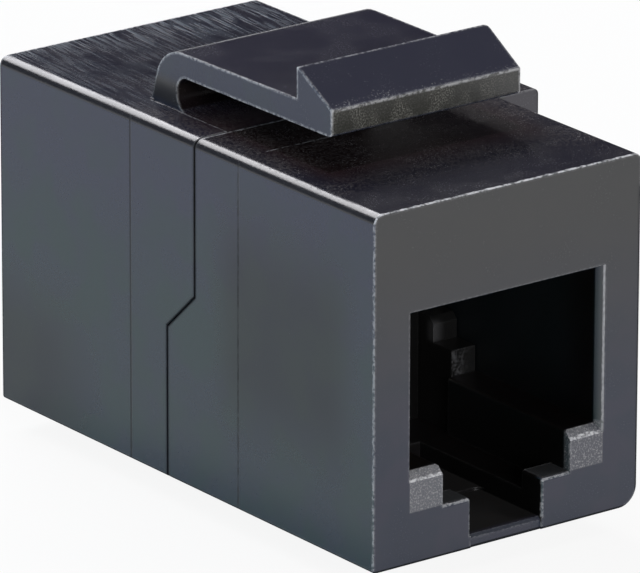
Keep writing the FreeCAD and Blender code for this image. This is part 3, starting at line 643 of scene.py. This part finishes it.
def insertPlastic():
    look = insert
    material, tree = newMaterial("insertPlastic")
    place = millimetrePlace(tree)
    x, y, z = axes(tree, place)
    fromEnd = calc(tree, "MINIMUM", y, calc(tree, "SUBTRACT", housing["bodyLength"], y))
    across = magnitude(tree, x)
    stopLight = product(    # painted light, in blotches, on the two faces that a plug pushes against
        tree, drop(tree, fromEnd, *look["stopStation"]), ramp(tree, z, 4.1, 4.2),
        ramp(tree, across, *look["stopAcross"], 1.3, 0.1), blotches(tree, place, 0.11, 3.0, (0.40, 0.66)))
    ledgeLight = product(    # painted light on the upper step near its inner edge
        tree, drop(tree, across, *look["ledgeAcross"]), within(tree, fromEnd, *look["ledgeStation"], 0.25),
        within(tree, z, *look["ledgeHeight"], 0.15))
    colour = blendColour(tree, cloud(tree, place, 1.4), look["black"], look["grey"])
    # painted light on the ledge
    colour = blendColour(tree, product(tree, ledgeLight, 0.40), colour, look["dust"])
    # painted shade far inside the port
    colour = blendColour(tree, ramp(tree, fromEnd, *look["deepStation"]), colour, look["deepShade"])
    # painted light on the stops
    colour = blendColour(tree, product(tree, stopLight, 0.5), colour, look["dust"])
    grain = cloud(tree, place, 0.08, 2.0)
    rounded, edge = rubbedEdges(tree, look["edgeWidth"], look["edgeSamples"])
    roughness = total(tree, look["roughness"], product(tree, grain, 0.12), product(tree, edge, 0.1))
    finish(tree, {
        "Base Color": colour, "Roughness": roughness, "Specular IOR Level": 0.5,
        "Normal": bump(tree, grain, 0.003, rounded)})
    return material


# circuit board: copper tracks under green resist

board = {
    "resistGreen": (0.010, 0.085, 0.035),
    "resistDark": (0.006, 0.050, 0.022),
    "trackScale": 0.31,
    "trackWander": 1.5,
    "roughness": 0.24,
    "bumpDepth": 0.02,
}


def boardLaminate():
    material, tree = newMaterial("boardLaminate")
    place = millimetrePlace(tree)
    tracks = addNode(tree, "ShaderNodeTexWave", {
        "Vector": place, "Scale": board["trackScale"], "Distortion": board["trackWander"], "Detail": 1.0,
        "Detail Scale": 0.4})
    copper = ramp(tree, tracks.outputs["Fac"], 0.45, 0.55)
    mottle = cloud(tree, place, 0.5, 3.0)
    colour = blendColour(tree, copper, board["resistDark"], board["resistGreen"])
    height = total(tree, copper, product(tree, mottle, 0.2))
    finish(tree, {
        "Base Color": colour, "Roughness": total(tree, board["roughness"], product(tree, mottle, 0.12)),
        "Specular IOR Level": 0.5, "Normal": bump(tree, height, board["bumpDepth"])})
    return material


# contact wires and solder joints: bare metal with a fine grain

wire = {
    "bright": (0.86, 0.62, 0.24),
    "dull": (0.72, 0.50, 0.20),
    "grain": 0.05,
    "detail": 2.0,
    "stretch": (1, 0.15, 1),                 # drawn along the wire
    "roughness": 0.16,
    "grainRoughness": 0.16,
    "bumpDepth": 0.002,
}

solder = {
    "bright": (0.72, 0.72, 0.70),
    "dull": (0.55, 0.55, 0.53),
    "grain": 0.12,
    "detail": 3.0,
    "stretch": (1, 1, 1),
    "roughness": 0.18,
    "grainRoughness": 0.25,
    "bumpDepth": 0.01,
}


def bareMetal(name, look):
    material, tree = newMaterial(name)
    grain = cloud(tree, millimetrePlace(tree), look["grain"], look["detail"], look["stretch"])
    finish(tree, {
        "Base Color": blendColour(tree, grain, look["bright"], look["dull"]),
        "Roughness": total(tree, look["roughness"], product(tree, grain, look["grainRoughness"])),
        "Metallic": 1.0, "Normal": bump(tree, grain, look["bumpDepth"])})
    return material


finishes = {
    "housing_plastic": housingPlastic(),
    "insert_plastic": insertPlastic(),
    "board_laminate": boardLaminate(),
    "contact_gold": bareMetal("contactGold", wire),
    "solder_tin": bareMetal("solderTin", solder),
}
for part in frame["record"]["subparts"]:
    node = nodes[part["node"]]
    node.data.materials.clear()
    node.data.materials.append(finishes[part["material_slot"]])


# studio: floor, dark surround for reflections, lamps, world

studio = {
    "floorSize": 6.0,
    "floorWhite": 0.86,
    "floorTone": 0.01,                       # the paper's darker patches
    "floorPatch": 180.0,
    "floorShown": 0.9,                       # how much of the white the camera sees, the rest is shadow
    "floorGloss": 0.85,
    "worldWhite": 1.0,
    "worldFill": 0.14,
    "flagRadius": 1.1,
    "flagColour": (0.02, 0.02, 0.025, 1),
    "contactNear": 0.3,                      # millimetres beside the shell where the floor is still dark
    "contactFar": 4.0,
}
white = (1, 1, 1, 1)


def showWhite(tree, shown, plain, shine, glossShare=1.0):    # shine for camera, gloss and clear rays only
    path = addNode(tree, "ShaderNodeLightPath").outputs
    gloss = product(tree, path["Is Glossy Ray"], glossShare)
    rays = strongest(tree, path["Is Camera Ray"], gloss, path["Is Transmission Ray"])
    inputs = {0: product(tree, rays, shown), 1: plain, 2: shine}
    return addNode(tree, "ShaderNodeMixShader", inputs).outputs[0]


def makeFloor():    # close to the shell, reflections show the real shadow instead of white
    bpy.ops.object.select_all(action="DESELECT")
    bpy.ops.mesh.primitive_plane_add(size=studio["floorSize"], location=(0, 0, cadBox[0][2]))
    floor = bpy.context.object
    floor.name = "studioFloor"
    material, tree = newMaterial("floorPaper")
    place = millimetrePlace(tree)
    x, y = axes(tree, place)[:2]
    halfLength = (cadBox[1][1] - cadBox[0][1]) / 2 / millimetre
    beside = calc(tree, "SUBTRACT", magnitude(tree, x), shellTop.x / millimetre)
    beyond = calc(tree, "SUBTRACT", magnitude(tree, calc(tree, "SUBTRACT", y, halfLength)), halfLength)
    away = ramp(tree, strongest(tree, beside, beyond), studio["contactNear"], studio["contactFar"])
    darker = studio["floorWhite"] - studio["floorTone"]
    tone = blotches(tree, place, studio["floorPatch"], 3.0, (0.3, 0.7), (darker, studio["floorWhite"]))
    colour = addNode(tree, "ShaderNodeCombineColor", {0: tone, 1: tone, 2: tone}).outputs[0]
    paper = addNode(tree, "ShaderNodeBsdfDiffuse", {"Color": colour}).outputs[0]
    shine = addNode(tree, "ShaderNodeEmission", {"Color": white, "Strength": 1.0}).outputs[0]
    glossShare = product(tree, away, studio["floorGloss"])
    mixed = showWhite(tree, studio["floorShown"], paper, shine, glossShare)
    addNode(tree, "ShaderNodeOutputMaterial", {"Surface": mixed})
    floor.data.materials.append(material)


def makeWorld():
    world = bpy.data.worlds.new("studioWorld")
    bpy.context.scene.world = world
    world.use_nodes = True
    tree = world.node_tree
    tree.nodes.clear()
    fill = addNode(tree, "ShaderNodeBackground", {"Color": white, "Strength": studio["worldFill"]})
    shine = addNode(tree, "ShaderNodeBackground", {"Color": white, "Strength": studio["worldWhite"]})
    mixed = showWhite(tree, 1.0, fill.outputs[0], shine.outputs[0])
    addNode(tree, "ShaderNodeOutputWorld", {"Surface": mixed})


def makeFlag():    # a dark tent that only reflections see
    bpy.ops.object.select_all(action="DESELECT")
    bpy.ops.mesh.primitive_uv_sphere_add(
        segments=64, ring_count=32, radius=studio["flagRadius"], location=(0, 0, cadBox[0][2]))
    flag = bpy.context.object
    flag.name = "studioFlag"
    material, tree = newMaterial("flagBlack")
    black = addNode(tree, "ShaderNodeEmission", {"Color": studio["flagColour"], "Strength": 1.0})
    addNode(tree, "ShaderNodeOutputMaterial", {"Surface": black.outputs[0]})
    flag.data.materials.append(material)
    for ray in ("camera", "diffuse", "transmission", "volume_scatter", "shadow"):
        setattr(flag, "visible_" + ray, False)


def awayFrom(azimuth, elevation):    # unit vector; azimuth 0 looks along +Y, angles in degrees
    turn, rise = math.radians(azimuth), math.radians(elevation)
    return Vector((math.sin(turn) * math.cos(rise), -math.cos(turn) * math.cos(rise), math.sin(rise)))


lamps = {    # azimuth, elevation, distance in metres, size in metres, power, colour
    "topBox": (176, 40, 0.7, (0.60, 0.25), 4.0, (1.0, 0.99, 1.02)),
    "leftBox": (-100, 22, 0.8, (0.50, 0.40), 1.9, (0.75, 0.97, 1.15)),
    "frontBox": (-12, 17, 0.9, (0.40, 0.25), 4.8, (0.99, 0.99, 1.0)),
    "edgeBox": (60, 49, 0.8, (0.22, 0.22), 0.9, (1.0, 1.0, 1.0)),
}


def makeLamps():
    centre = (Vector(cadBox[0]) + Vector(cadBox[1])) / 2
    for name, (azimuth, elevation, distance, boxSize, power, colour) in lamps.items():
        away = awayFrom(azimuth, elevation)
        light = bpy.data.lights.new(name, "AREA")
        light.shape = "RECTANGLE"
        light.size, light.size_y = boxSize
        light.energy = power
        light.color = colour
        lamp = bpy.data.objects.new(name, light)
        lamp.location = centre + away * distance
        lamp.rotation_euler = away.to_track_quat("Z", "Y").to_euler()
        bpy.context.scene.collection.objects.link(lamp)


makeFloor()
makeWorld()
makeFlag()
makeLamps()
print("studio ready")


# camera

viewpoint = {
    "azimuth": -37.0008,
    "elevation": 19.2348,
    "roll": 0.1524,
    "distance": 0.374333,
    "target": (-0.0101513, 0.0, 0.0137092),
    "lens": 498.565,
    "sensorWidth": 36.0,
    "clipStart": 0.02,
    "clipEnd": 20.0,
}


def makeCamera():
    back = awayFrom(viewpoint["azimuth"], viewpoint["elevation"])
    data = bpy.data.cameras.new("viewCamera")
    data.sensor_fit = "HORIZONTAL"
    data.sensor_width = viewpoint["sensorWidth"]
    data.lens = viewpoint["lens"]
    data.clip_start = viewpoint["clipStart"]
    data.clip_end = viewpoint["clipEnd"]
    camera = bpy.data.objects.new("viewCamera", data)
    camera.location = Vector(viewpoint["target"]) + back * viewpoint["distance"]
    aim = back.to_track_quat("Z", "Y").to_matrix()
    roll = math.radians(viewpoint["roll"])
    right = aim.col[0] * math.cos(roll) + aim.col[1] * math.sin(roll)
    aim.col[0], aim.col[1], aim.col[2] = right, back.cross(right), back
    camera.rotation_euler = aim.to_euler()
    bpy.context.scene.collection.objects.link(camera)
    bpy.context.scene.camera = camera


makeCamera()
bpy.context.scene.view_settings.view_transform = "Standard"
print("camera ready")
